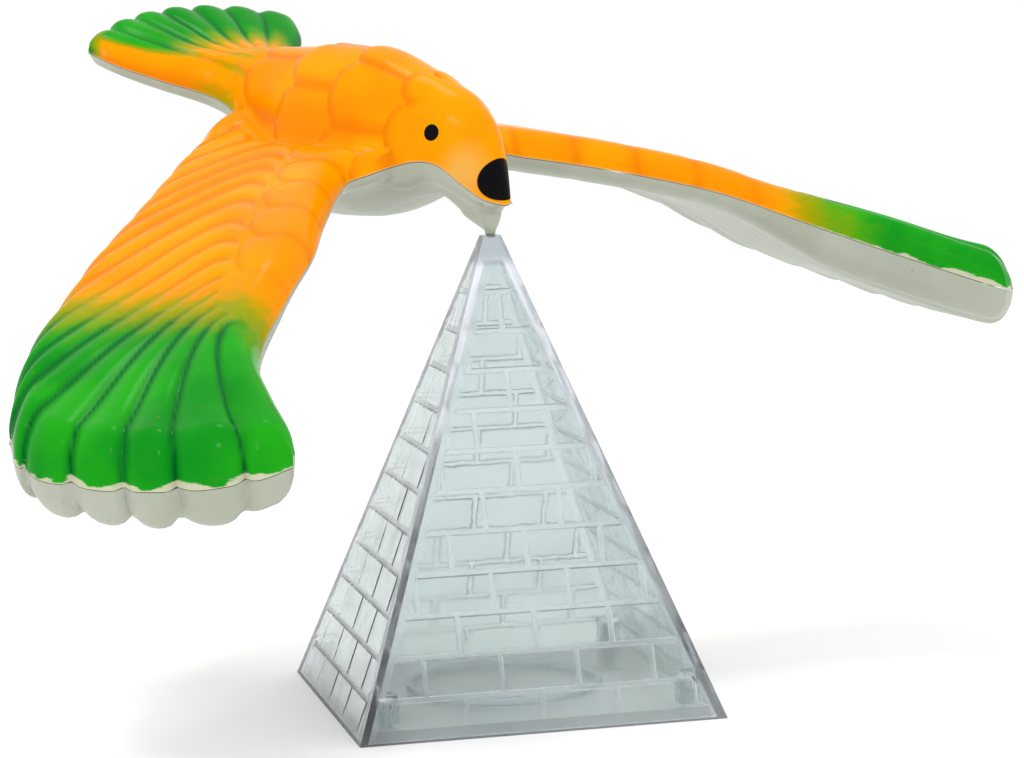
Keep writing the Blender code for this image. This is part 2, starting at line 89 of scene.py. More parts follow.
# (share of length, metres)
BODY_HALF_WIDTH = [(.037, .0020), (.023, .0034), (.0, .0052), (-.03, .0068), (-.06, .0077),
                   (-.086, .0095), (-.15, .0122), (-.24, .0132), (-.32, .0120), (-.38, .0098),
                   (-.418, .0090), (-.455, .0075), (-.50, .0092), (-.55, .0146), (-.60, .0200),
                   (-.645, .0225)]
BODY_SEAM = [(.037, .0048), (.018, .0059), (-.004, .0084), (-.031, .0113), (-.064, .0120),
             (-.11, .0108), (-.18, .0103), (-.27, .0105), (-.345, .0125), (-.40, .0159),
             (-.436, .0192), (-.51, .0243), (-.58, .0296), (-.645, .0335)]
BODY_RISE = [(.037, .0066), (.024, .0097), (.0, .0111), (-.031, .0106), (-.064, .0117),
             (-.11, .0152), (-.18, .0184), (-.27, .0191), (-.345, .0168), (-.40, .0132),
             (-.436, .0102), (-.51, .0048), (-.58, .0029), (-.645, .0024)]
BELLY_DEPTH = [(.037, .0008), (.024, .0016), (.0, .0040), (-.031, .0062), (-.054, .0054),
               (-.12, .0063), (-.20, .0081), (-.264, .0082), (-.318, .0073), (-.38, .0062),
               (-.436, .0052), (-.51, .0032), (-.645, .0022)]
TAIL_ARCH = .0005
BACK_CROWN = .0050
BELLY_CROWN = .0028
TIP_BULGE = .0038
TIP_RISE = .0018
EDGE_ROUND = .0042

# ---------------------------------------------------------------- feathers, in millimetres
# Lines between the wing feathers, from the leading edge back: (place along the body where the
# line starts, how far forward it fans out towards the wing tip)
FEATHER_LINES = [(13.6, 38.), (11.4, 20.), (8.4, 13.3), (5.4, 7.6), (2.2, 2.3), (-1.8, .3),
                 (-5.8, 0.), (-10., 0.), (-14.4, 0.), (-18.6, 0.), (-22.3, 0.), (-26., 0.),
                 (-30.3, 0.), (-35.3, 0.), (-41., 0.)]
FAN_START = 64.
FAN_REACH = 26.
FAN_POWER = 1.42
HOOK = 7.0                       # how far back the feather lines start, next to the coverts
HOOK_LENGTH = 2.4
HOOK_FADE = (42, 60)
COVERT_LINE = (49.2, 1.385)      # spread where the coverts end, at the beak, and its slope
COVERT_END = 61.0                # spread past which there are none
WRIST = (50, 62)                 # where the coverts fade, along the swept wing
COVERT_ROW = 9.2
COVERT_WIDTH = 9.6
SCALE_ROW = 11.3
SCALE_WIDTH = 10.5
BODY_RADIUS = 14.0
NAPE = -11.6
RUMP = (49.0, 50.6)              # how far back the scales end
TAIL_LOBES = 7
WING_GREEN = (54.5, 80.5)        # from orange to green, along the swept wing
TAIL_GREEN = (53.5, 63.5)
WORN_TIP = (62, 88)              # where the paint grows thin at the rim


def smooth_path(points, samples=600):
    """Catmull-Rom curve through the points, as a function of the share of its length."""
    given = np.array(points, dtype=float)
    knots = np.vstack([2 * given[0] - given[1], given, 2 * given[-1] - given[-2]])
    s = np.linspace(0, 1, samples // len(points), endpoint=False)[:, None]
    dense = []
    for p0, p1, p2, p3 in zip(knots, knots[1:], knots[2:], knots[3:]):
        dense.append(0.5 * (2 * p1 + (p2 - p0) * s + (2 * p0 - 5 * p1 + 4 * p2 - p3) * s ** 2
                            + (3 * p1 - p0 - 3 * p2 + p3) * s ** 3))
    dense = np.vstack(dense + [given[-1:]])
    steps = np.linalg.norm(np.diff(dense, axis=0), axis=1)
    share = np.concatenate([[0.0], np.cumsum(steps)]) / steps.sum()

    def at(place):
        return np.stack([np.interp(place, share, dense[:, k]) for k in range(2)], axis=-1)
    return at


def smooth_table(points):
    """Smooth y(x) through the points, with slopes limited so that it never overshoots."""
    given = np.array(sorted(points), dtype=float)
    x, y = given[:, 0], given[:, 1]
    slope = np.diff(y) / np.diff(x)
    tangent = np.concatenate([[slope[0]], (slope[:-1] + slope[1:]) / 2, [slope[-1]]])
    limit = 3 * np.minimum(abs(slope[:-1]), abs(slope[1:]))
    inner = np.sign(tangent[1:-1]) * np.minimum(abs(tangent[1:-1]), limit)
    tangent[1:-1] = np.where(slope[:-1] * slope[1:] <= 0, 0.0, inner)

    def at(value):
        value = np.clip(value, x[0], x[-1])
        k = np.clip(np.searchsorted(x, value, side="right") - 1, 0, len(x) - 2)
        width = x[k + 1] - x[k]
        s = (value - x[k]) / width
        return (y[k] * (1 + 2 * s) * (1 - s) ** 2 + tangent[k] * width * s * (1 - s) ** 2
                + y[k + 1] * s * s * (3 - 2 * s) - tangent[k + 1] * width * s * s * (1 - s))
    return at


def ease(value, start, end):
    s = np.clip((value - start) / (end - start), 0.0, 1.0)
    return s * s * (3 - 2 * s)


def quarter_round(share):
    return np.sqrt(np.maximum(0.0, 1 - (1 - np.minimum(share, 1.0)) ** 2))


def soft_max(a, b, blend):
    return (a + b + np.sqrt((a - b) ** 2 + blend ** 2) - blend) / 2


leading_edge = smooth_path(LEADING_EDGE)
wing_tip = smooth_path(WING_TIP)
trailing_edge = smooth_path(TRAILING_EDGE)
droop_curve = smooth_table(DROOP_CURVE)
body_half_width = smooth_table(BODY_HALF_WIDTH)
body_seam = smooth_table(BODY_SEAM)
body_rise = smooth_table(BODY_RISE)
belly_depth = smooth_table(BELLY_DEPTH)


def plan_places(column, row):
    """Grid place to plan place. Columns -1..1 are the body and 1..2 the left wing; rows 0..1
    are the head, 1..2 the wings' chord and 2..3 the tail."""
    side = np.where(column < 0, -1.0, 1.0)
    across = np.minimum(np.abs(column), 1.0)
    out = np.clip(np.abs(column) - 1.0, 0.0, 1.0)
    front = HEAD_FRONT - 0.011 * across ** 2
    end = TAIL_END + TAIL_FAN_CURVE * across ** 2
    chord_share = NECK_ROOT + (TAIL_ROOT - NECK_ROOT) * (row - 1)
    length_share = np.where(row < 1, front + (NECK_ROOT - front) * row,
                            np.where(row > 2, TAIL_ROOT + (end - TAIL_ROOT) * (row - 2),
                                     chord_share))
    table_share = np.where(row < 1, HEAD_FRONT + (NECK_ROOT - HEAD_FRONT) * row,
                           np.where(row > 2, TAIL_ROOT + (TAIL_END - TAIL_ROOT) * (row - 2),
                                    chord_share))
    width = body_half_width(table_share)
    chord = np.clip(row - 1, 0.0, 1.0)[..., None]
    bend = wing_tip(chord[..., 0]) - (wing_tip(0.0) * (1 - chord) + wing_tip(1.0) * chord)
    wing = leading_edge(out) * (1 - chord) + trailing_edge(out) * chord
    wing = wing + bend * (out ** 2.5)[..., None]
    joined = ease(out, 0.0, 0.12)
    wing_y = (width + out * HALF_SPAN) * (1 - joined) + wing[..., 0] * HALF_SPAN * joined
    wing_x = table_share * LENGTH * (1 - joined) + wing[..., 1] * LENGTH * joined
    on_wing = out > 0
    x = np.where(on_wing, wing_x, length_share * LENGTH)
    y = np.where(on_wing, wing_y, across * width)
    return x, side * y


def seam_height(x, y):
    """The seam between the shells, as a surface over the plan."""
    length_share = x / LENGTH
    swept_share = (np.abs(y) + DROOP_SWEEP * x) / HALF_SPAN
    fan = ease(-length_share, -TAIL_ROOT, -TAIL_END)
    width = body_half_width(length_share)
    body = body_seam(length_share) + TAIL_ARCH * fan * np.maximum(0.0, 1 - (y / width) ** 2)
    wing = SHOULDER_HEIGHT - WING_DROOP * droop_curve(swept_share)
    out = ease(np.abs(y) / HALF_SPAN, .09, .21)
    out = out * (1 - ease(-length_share, -TAIL_ROOT + .03, -TAIL_ROOT + .08))
    return body * (1 - out) + wing * out


def skin_offset(column, row, x, edge, above):
    """Height of a shell's smooth outer skin above or below the seam."""
    across = np.minimum(np.abs(column), 1.0)
    out = np.maximum(np.abs(column) - 1.0, 0.0)
    length_share = x / LENGTH
    fan = ease(-length_share, -TAIL_ROOT + .02, -TAIL_END - .04)
    table = (body_rise if above else belly_depth)(length_share)
    body = table * np.sqrt(np.maximum(0.0, 1 - across ** (2 + 6 * fan)))
    body = body * np.where(row < 1, quarter_round(row * 5), 1.0)
    body = body * np.where(row > 2, quarter_round((3 - row) * 9), 1.0)
    if above:
        crown = BACK_CROWN + TIP_RISE * ease(out, .55, .85)
    else:
        crown = BELLY_CROWN + TIP_BULGE * ease(out, .48, .76)
    crown = np.where((row < 1) | (row > 2), np.minimum(crown, table), crown)
    rolled = quarter_round(edge / EDGE_ROUND)
    return soft_max(body, crown * rolled, 0.0012 * rolled)


# ---------------------------------------------------------------- feather relief

def scale_tiles(back, across, row_length, width, reach):
    """Rounded tiles that overlap like roof tiles, the front row on top. back grows the way the
    tiles point. Returns the height 0..1 and how deep in the notch between tiles each point is."""
    height = np.zeros_like(back)
    notch = np.zeros_like(back)
    open_still = np.ones(back.shape, bool)
    first = np.floor(back / row_length)
    for step in range(3):
        number = first + step
        place = across / width + 0.5 * np.mod(number, 2)
        share = 2 * np.abs(place - np.floor(place) - 0.5)
        rear = number * row_length + reach * (np.sqrt(np.maximum(0, 1 - share ** 2)) - 1)
        ahead = rear - back
        mine = open_still & (ahead >= 0)
        lift = (1 - 0.72 * np.clip(ahead / row_length, 0, 1.3) ** 0.9)
        lift = lift * quarter_round(ahead / (0.22 * row_length)) * (1 - 0.55 * share ** 5)
        height = np.where(mine, lift, height)
        near = np.minimum(ahead / (0.10 * row_length), (1 - share) * 6)
        notch = np.where(mine, np.exp(-np.maximum(near, 0) ** 2), notch)
        open_still = open_still & ~mine
    return height, notch


def wing_feathers(x, y):
    """Height on the flight feather and depth in a groove, both 0..1, the share of the way across
    the feather, how far past the coverts a place is, in millimetres, and how far out in the fan."""
    spread = np.abs(y)
    past = (spread - COVERT_LINE[0] - COVERT_LINE[1] * x) / math.hypot(1, COVERT_LINE[1])
    past = np.maximum(past, spread - COVERT_END)
    hook = HOOK * np.exp(-np.maximum(past, 0) / HOOK_LENGTH) * (1 - ease(spread, *HOOK_FADE))
    hooked = x - hook
    out = np.maximum(0.0, (spread - FAN_START) / FAN_REACH)
    lines = [start + reach * out ** FAN_POWER for start, reach in FEATHER_LINES]
    share = np.zeros_like(x)
    ahead = hooked - lines[0]
    share = np.where(ahead > 0, np.clip(1 - ahead / 11.0, 0.5, 1), share)
    width = np.full_like(x, 9.0)
    for front, behind in zip(lines, lines[1:]):
        inside = (hooked <= front) & (hooked > behind)
        share = np.where(inside, (front - hooked) / (front - behind), share)
        width = np.where(inside, front - behind, width)
    behind_all = hooked <= lines[-1]
    share = np.where(behind_all, 0.5, share)
    crest = np.abs(2 * share ** 0.85 - 1)
    from_line = (1 - crest) * width / 2
    crest = np.clip(1 - (np.sqrt(from_line ** 2 + 0.3) - 0.3) * 2 / width, 0, 1)
    pillow = 1 - crest ** 2.2
    groove = np.exp(-(from_line / 0.62) ** 2)
    return pillow, groove, share, past, out


def feather_fields(column, x_m, y_m, edge_m):
    """Relief height in millimetres, and from 0 to 1 the groove depth, the green paint (with some
    painted shade in it at the tail root), the crest of each feather and the worn stretch towards
    the wing tip."""
    x, y, edge = x_m / MM, y_m / MM, edge_m / MM
    spread = np.abs(y)
    across = np.minimum(np.abs(column), 1.0)
    out = np.maximum(np.abs(column) - 1.0, 0.0)
    swept = spread + 0.5 * x

    pillow, groove, _, past, fanned = wing_feathers(x, y)
    strength = 0.50 + 0.62 * ease(spread + 0.35 * x, 70, 90)
    flight = strength * (pillow - 0.72)
    front_line = FEATHER_LINES[0][0] + FEATHER_LINES[0][1] * fanned ** FAN_POWER
    flight = flight - 1.0 * ease(x - front_line, -0.4, 1.4) * ease(spread, 64, 80)

    along = (x + COVERT_LINE[1] * spread) / math.hypot(1, COVERT_LINE[1])
    covert, covert_notch = scale_tiles(past, along + 1.5, COVERT_ROW, COVERT_WIDTH, 3.2)
    covert_relief = 0.50 * (covert - 0.42)
    wrist = ease(swept, *WRIST)
    covert_relief = covert_relief * (1 - wrist)
    covert_notch = 0.7 * covert_notch * (1 - wrist)
    on_coverts = past < 0
    bare = ease(x, 8, 14) * (1 - ease(spread, 60, 66))
    wing_relief = np.where(on_coverts, covert_relief, flight * (1 - bare) * ease(past, 0, 1.0)
                           + 0.10 * (1 - ease(past, 0, 1.5)))
    wing_groove = np.where(on_coverts, covert_notch, groove * (1 - bare) * ease(past, 0, 1.2))

    angle = np.arcsin(np.clip(across, 0, 1)) * np.where(column < 0, -1, 1)
    around = angle * BODY_RADIUS
    body, body_notch = scale_tiles(NAPE - x, around, SCALE_ROW, SCALE_WIDTH, 3.4)
    hood = ease(x, NAPE + 1.0, NAPE + 8.0)
    body_relief = 0.85 * (body - 0.45) * (1 - hood) + 0.25 * hood
    body_notch = body_notch * (1 - ease(x, NAPE + 3.0, NAPE + 4.0))
    rump = ease(-x, *RUMP)
    body_relief = body_relief * (1 - rump) - 0.15 * rump
    body_notch = body_notch * (1 - rump)

    fan_place = (column + 1) / 2 * TAIL_LOBES
    lobe = fan_place - np.floor(fan_place)
    lobe_crest = np.abs(2 * lobe ** 0.8 - 1)
    tail_strength = (0.22 + 0.50 * ease(-x, 50, 66)) * rump
    tail_relief = tail_strength * (0.82 - lobe_crest ** 2.2)
    tail_width = np.maximum(1.2, body_half_width(x_m / LENGTH) / MM * 2 / TAIL_LOBES)
    tail_groove = np.exp(-((1 - lobe_crest) * tail_width / 2 / 0.40) ** 2) * rump

    junction = ease(out, 0.012, 0.05)
    shoulder = np.exp(-((out - 0.030 - 0.012 * np.abs(np.sin(x * 0.42))) / 0.010) ** 2)
    shoulder = shoulder * (1 - ease(-x, 36, 44)) * ease(-x, 9, 14)
    relief = (body_relief + tail_relief) * (1 - junction) + wing_relief * junction
    relief = relief - 0.30 * shoulder
    grooves = np.maximum(body_notch, tail_groove) * (1 - junction) + wing_groove * junction
    grooves = np.maximum(grooves, 0.45 * shoulder)
    relief = relief * quarter_round(edge / 2.0)

    green = ease(swept, *WING_GREEN) * (out > 0)
    tail_green = ease(-x + 0.12 * spread, *TAIL_GREEN) * (column >= -1) * (out == 0)
    flank = np.where(column < 0, ease(edge, 0.9, 2.6), 1.0)
    flank = np.maximum(flank, ease(-x, 62.5, 67))
    green = np.maximum(green, tail_green * flank)
    # Olive band at the tail root, where the body's rounded edge overlaps it: partly green
    # overspray, partly painted shade under that edge.
    green = np.maximum(green, 0.20 * np.exp(-((x + 49.5) / 4.5) ** 2) * (spread < 22))
    on_flight = ease(past, 0, 1.0)
    ridge = np.where(out > 0, pillow * on_flight + 0.55 * (1 - on_flight), 1 - lobe_crest ** 2)
    return {"relief": relief, "groove": grooves, "green": green, "ridge": ridge,
            "tip": ease(swept, *WORN_TIP) * (out > 0)}


def scallops(column, row):
    """Grid places drawn in at the notches between feather ends."""
    x, y = plan_places(column, row)
    x, y = x / MM, y / MM
    out = np.maximum(np.abs(column) - 1.0, 0.0)
    pillow, _, share, _, _ = wing_feathers(x, y)
    notch = (1 - pillow) ** 2
    saw = ease(share, 0.1, 1.0) * 0.6 + 0.4 * notch
    tip = 0.016 * notch * ease(out, 0.86, 1.0)
    chord = np.clip(row - 1, 0, 1)
    rear = 0.044 * saw * ease(chord, 0.80, 1.0) * ease(out, 0.10, 0.2) * (row <= 2)
    column = column - np.sign(column) * tip * (out > 0)
    row = np.where(out > 0, row - rear, row)
    fan_place = (np.clip(column, -1, 1) + 1) / 2 * TAIL_LOBES
    lobe = np.abs(2 * (fan_place - np.floor(fan_place)) - 1)
    row = np.where(row > 2, row - 0.034 * lobe ** 3 * ease(row, 2.8, 3.0), row)
    return column, row


# ---------------------------------------------------------------- pieces

def finished_piece(name, shape, body, slot, *nodes):
    """Turns a bmesh into a piece that rides on its body and stands for nodes."""
    mesh = bpy.data.meshes.new(name)
    shape.to_mesh(mesh)
    shape.free()
    piece = bpy.data.objects.new(name, mesh)
    bpy.context.scene.collection.objects.link(piece)
    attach(piece, body)
    if nodes:
        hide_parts(*nodes)
    return piece


PIVOT = Vector(joints["roll"]["pos_m"])
FORWARD = Vector(joints["roll"]["axis"])
LEFT = Matrix.Rotation(LEAN, 3, FORWARD) @ Vector((0, 0, 1)).cross(FORWARD)
UP = FORWARD.cross(LEFT)
BIRD_FRAME = (Matrix.Translation(PIVOT) @ Matrix((FORWARD, LEFT, UP)).transposed().to_4x4()
              @ Matrix.Translation((0, 0, -BALL_RADIUS)))


def spaced(count, crowded):
    """0..1 in even steps, drawn together towards both ends by the crowded share."""
    s = np.linspace(0, 1, count + 1)
    return s * (1 - crowded) + (1 - np.cos(np.pi * s)) / 2 * crowded


def grid_values(density):
    even = spaced(round(152 * density), 0.30)
    wing = 1 + even * (1.30 - 0.30 * even)
    body = spaced(round(28 * density), 0.25)
    half = np.concatenate([body, wing[1:]])
    columns = np.concatenate([-half[:0:-1], half])
    rows = np.concatenate([spaced(round(30 * density), 0.3),
                           1 + spaced(round(104 * density), 0.45)[1:],
                           2 + spaced(round(60 * density), 0.35)[1:]])
    return columns, rows


def rim_tree():
    """Points all along the bird's outline, to measure how far in a place lies."""
    share = np.linspace(0, 1, 700)
    one = np.ones_like(share)
    runs = [(1 + share, one), (1 + share, 2 * one), (2 * one, 1 + share), (one, share),
            (one, 2 + share), (share, 0 * one), (share, 3 * one)]
    tree = KDTree(2 * len(runs) * len(share))
    number = 0
    for column, row in runs:
        for side in (-1, 1):
            x, y = plan_places(side * column, row)
            for place in zip(x, y):
                tree.insert((*place, 0), number)
                number += 1
    tree.balance()
    return tree


RIM = rim_tree()


# Lower beak, in millimetres: (reach ahead, height), and (reach behind, the reach ahead at that
# height)
BEAK_HEIGHTS = [(0.86, 0.86), (1.3, 1.5), (1.75, 2.6), (2.25, 4.2), (2.8, 6.0), (4.0, 9.5)]
BEAK_REAR = [(0.0, 0.0), (0.9, 0.86), (2.2, 1.3), (4.4, 1.75), (6.8, 2.25), (9.4, 2.8),
             (14.0, 4.0)]
BEAK_SIDE = 1.08
beak_height = smooth_table(BEAK_HEIGHTS)
beak_rear = smooth_table(BEAK_REAR)
beak_rear_reach = smooth_table([(even, real) for real, even in BEAK_REAR])


def beak_flank(x, y):
    """Height of the lower beak's flaring side over the plan, a horn that leans back."""
    ahead = np.maximum(x / MM, 0)
    behind = beak_rear(np.maximum(-x / MM, 0))
    reach = np.sqrt(ahead ** 2 + behind ** 2 + (y / MM * BEAK_SIDE) ** 2)
    return beak_height(reach) * MM


def bird_shell(name, above, density, slot, *nodes):
    """One moulded half: a grid drawn out to the plan, raised to the skin and given its wall."""
    columns, rows = grid_values(density)
    shape = bmesh.new()
    layers = {key: shape.verts.layers.float.new(key)
              for key in ("groove", "green", "ridge", "tip", "rim")}
    bmesh.ops.create_grid(shape, x_segments=len(columns) - 1, y_segments=len(rows) - 1, size=1)
    verts = list(shape.verts)
    flat = np.array([v.co for v in verts])
    column = columns[np.rint((flat[:, 0] + 1) / 2 * (len(columns) - 1)).astype(int)]
    row = rows[np.rint((flat[:, 1] + 1) / 2 * (len(rows) - 1)).astype(int)]
    kept = ~((np.abs(column) > 1) & ((row < 1) | (row > 2)))
    x, y = plan_places(column, row)
    edge = np.array([math.dist(place, RIM.find((*place, 0))[0][:2]) for place in zip(x, y)])
    edge[edge < ON_RIM] = 0.0
    sign = 1 if above else -1
    fields = feather_fields(column, x, y, edge)
    offset = skin_offset(column, row, x, edge, above)
    x, y = plan_places(*scallops(column, row))
    seam = seam_height(x, y)
    if above:
        offset = np.maximum(offset + fields["relief"] * MM, 0)
    else:
        ribs = np.clip(fields["relief"], -0.6, 0.3) * (1 - ease(edge, 0.004, 0.016))
        offset = np.maximum(offset + ribs * MM, 0)
        horn = seam - np.maximum(beak_flank(x, y), 3.4 * MM)
        near = ease(np.hypot(np.where(x > 0, x, x * 0.6), y), 0.0095, 0.0065)
        near = near * (np.abs(column) <= 1)
        offset = np.where(edge > 0, offset + (soft_max(offset, horn, 0.0011) - offset) * near,
                          offset)
    fields["rim"] = offset / MM
    places = np.stack([x, y, seam + sign * (SEAM_GAP / 2 + offset)], axis=1)
    for number, vert in enumerate(verts):
        vert.co = places[number]
        for key, layer in layers.items():
            vert[layer] = float(fields[key][number])
    bmesh.ops.delete(shape, geom=[v for v, keep in zip(verts, kept) if not keep],
                     context="VERTS")
    bmesh.ops.recalc_face_normals(shape, faces=shape.faces)
    if sum(face.normal.z for face in shape.faces) * sign < 0:
        bmesh.ops.reverse_faces(shape, faces=shape.faces)
    outer = set(shape.verts)
    bmesh.ops.solidify(shape, geom=shape.faces[:], thickness=SHELL_WALL)
    inner = [v for v in shape.verts if v not in outer]
    lips = seam_height(np.array([v.co.x for v in inner]), np.array([v.co.y for v in inner]))
    for vert, lip in zip(inner, lips + sign * (SEAM_GAP / 2 + LIP_RELIEF)):
        if (vert.co.z - lip) * sign < 0:
            vert.co.z = lip
    for face in shape.faces:
        face.smooth = True
    bmesh.ops.transform(shape, matrix=BIRD_FRAME, verts=shape.verts)
    piece = finished_piece(name, shape, "bird", slot, *nodes)
    piece.data.set_sharp_from_angle(angle=math.radians(SHARP_DEGREES))
    return piece


def lower_beak():
    """The horn of the lower beak, from the ball that stands in the dimple up into the belly."""
    shape = bmesh.new()
    low = [(BALL_RADIUS * math.sin(a), BALL_RADIUS * (1 - math.cos(a)))
           for a in np.linspace(0, math.radians(75), 8)]
    high = [(reach * MM * (1 - 0.05 * ease(reach, 1.9, 2.2)), float(beak_height(reach)) * MM)
            for reach in np.linspace(0.95, 2.6, 22)]
    profile = low + high + [(0.0, high[-1][1])]
    chain = [shape.verts.new((radius, 0, height)) for radius, height in profile]
    edges = [shape.edges.new(pair) for pair in zip(chain, chain[1:])]
    bmesh.ops.spin(shape, geom=chain + edges, cent=(0, 0, 0), axis=(0, 0, 1),
                   angle=2 * math.pi, steps=40, use_merge=True)
    bmesh.ops.remove_doubles(shape, verts=shape.verts, dist=1e-6)
    for vert in shape.verts:
        if vert.co.z > BALL_RADIUS * 0.7:
            vert.co.y /= BEAK_SIDE
            if vert.co.x < 0:
                vert.co.x = -float(beak_rear_reach(-vert.co.x / MM)) * MM
    bmesh.ops.recalc_face_normals(shape, faces=shape.faces)
    for face in shape.faces:
        face.smooth = True
    bmesh.ops.transform(shape, matrix=BIRD_FRAME, verts=shape.verts)
    return finished_piece("lower_beak", shape, "bird", "white_plastic", "beak_tip", "beak_collar")


# ---------------------------------------------------------------- pyramid
BASE_LOW, BASE_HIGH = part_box("pyramid_shell")
BASE_HALF = (BASE_HIGH.x - BASE_LOW.x) / 2
APEX = BASE_HIGH.z
TOP_HALF = 0.00135
WALL = 0.0013
SOLID_TIP = 0.0042
COURSE = 0.005653
FIRST_COURSE = 0.000146
BRICK = 0.01140
JOINT = 0.00046               # half width of a mortar groove at the face
DRAFT = 0.00020               # how far a groove's side slopes in
GROOVE_DEPTH = 0.00026
BORDER = 0.0019               # plain strip along the slanting edges
FOOT = 0.0006                 # plain strip along the bottom
PEG_INSET = 0.0048            # from the pyramid's side to the middle of a peg
BOSS_RADIUS = 0.0019
BOSS_TOP = 0.0064
BORE_RADIUS = 0.0012
BORE_LENGTH = 0.0040
PLATE_THICKNESS = 0.0015
CLEARANCE = 0.0003
RING_RADIUS = 0.0145          # line round the middle of the base plate
SLOPE = (BASE_HALF - TOP_HALF) / APEX


def side_half(height):
    return BASE_HALF - SLOPE * height


def brick_face():
    """One side's outer skin, facing -Y, as a grid with grooves pushed in between its bricks."""
    shape = bmesh.new()
    across = sorted({side * (n * BRICK / 2 + step) for side in (-1, 1) for n in range(6)
                     for step in (-JOINT, -JOINT + DRAFT, JOINT - DRAFT, JOINT)})
    across = [-BASE_HALF * 1.02] + [s for s in across if abs(s) < BASE_HALF] + [BASE_HALF * 1.02]
    courses = [FIRST_COURSE + COURSE * n for n in range(13)]
    heights = [0.0]
    for level in courses:
        heights += [level + step for step in (-JOINT, -JOINT + DRAFT, JOINT - DRAFT, JOINT)]
    heights = sorted(h for h in heights if 0 <= h < APEX - SOLID_TIP) + [APEX]
    bmesh.ops.create_grid(shape, x_segments=len(across) - 1, y_segments=len(heights) - 1, size=1)
    for vert in shape.verts:
        i = round((vert.co.x + 1) / 2 * (len(across) - 1))
        j = round((vert.co.y + 1) / 2 * (len(heights) - 1))
        vert.co = (across[i], 0, heights[j])
    tilt = math.hypot(1, SLOPE)
    for side in (-1, 1):
        normal = Vector((side, 0, SLOPE)).normalized()
        for inset in (BORDER + 2 * DRAFT, BORDER):
            bmesh.ops.bisect_plane(shape, geom=shape.verts[:] + shape.edges[:] + shape.faces[:],
                                   plane_co=(side * (BASE_HALF - inset * tilt), 0, 0),
                                   plane_no=normal, dist=1e-7)
        bmesh.ops.bisect_plane(shape, geom=shape.verts[:] + shape.edges[:] + shape.faces[:],
                               plane_co=(side * BASE_HALF, 0, 0), plane_no=normal, dist=1e-7,
                               clear_outer=True)
    for vert in shape.verts:
        place, height = vert.co.x, vert.co.z
        inside = (side_half(height) - abs(place)) / tilt
        depth = 0.0
        if inside > BORDER + DRAFT and height < APEX - SOLID_TIP - 0.0006:
            course = math.floor((height - FIRST_COURSE) / COURSE)
            level = (height - FIRST_COURSE) / COURSE - course
            from_bed = min(level, 1 - level) * COURSE
            shift = place / BRICK + 0.5 * (course % 2)
            from_head = abs(shift - round(shift)) * BRICK
            if min(from_bed, from_head) < JOINT - DRAFT * 0.5 and height > 0.0012:
                depth = GROOVE_DEPTH
        vert.co = (place, -side_half(height) + depth, height)
    return shape


def four_sides(shape):
    side = shape.copy()
    for turn in (1, 2, 3):
        extra = side.copy()
        bmesh.ops.rotate(extra, verts=extra.verts, cent=(0, 0, 0),
                         matrix=Matrix.Rotation(turn * math.pi / 2, 3, "Z"))
        mesh = bpy.data.meshes.new("side")
        extra.to_mesh(mesh)
        extra.free()
        shape.from_mesh(mesh)
        bpy.data.meshes.remove(mesh)
    side.free()
    bmesh.ops.remove_doubles(shape, verts=shape.verts, dist=2e-6)
    return shape


def solid_object(name, shape):
    bmesh.ops.recalc_face_normals(shape, faces=shape.faces)
    mesh = bpy.data.meshes.new(name)
    shape.to_mesh(mesh)
    shape.free()
    made = bpy.data.objects.new(name, mesh)
    bpy.context.scene.collection.objects.link(made)
    return made


def frustum(name, low_half, high_half, low, high):
    shape = bmesh.new()
    bmesh.ops.create_cone(shape, cap_ends=True, segments=4, radius1=low_half * math.sqrt(2),
                          radius2=high_half * math.sqrt(2), depth=high - low)
    bmesh.ops.rotate(shape, verts=shape.verts, matrix=Matrix.Rotation(math.pi / 4, 3, "Z"))
    bmesh.ops.translate(shape, verts=shape.verts, vec=(0, 0, (low + high) / 2))
    return solid_object(name, shape)


def corner_cylinders(name, radius, low, high):
    reach = BASE_HALF - PEG_INSET
    shape = bmesh.new()
    for sx in (-1, 1):
        for sy in (-1, 1):
            made = bmesh.ops.create_cone(shape, cap_ends=True, segments=32, radius1=radius,
                                         radius2=radius, depth=high - low)
            bmesh.ops.translate(shape, verts=made["verts"],
                                vec=(sx * reach, sy * reach, (low + high) / 2))
    return solid_object(name, shape)


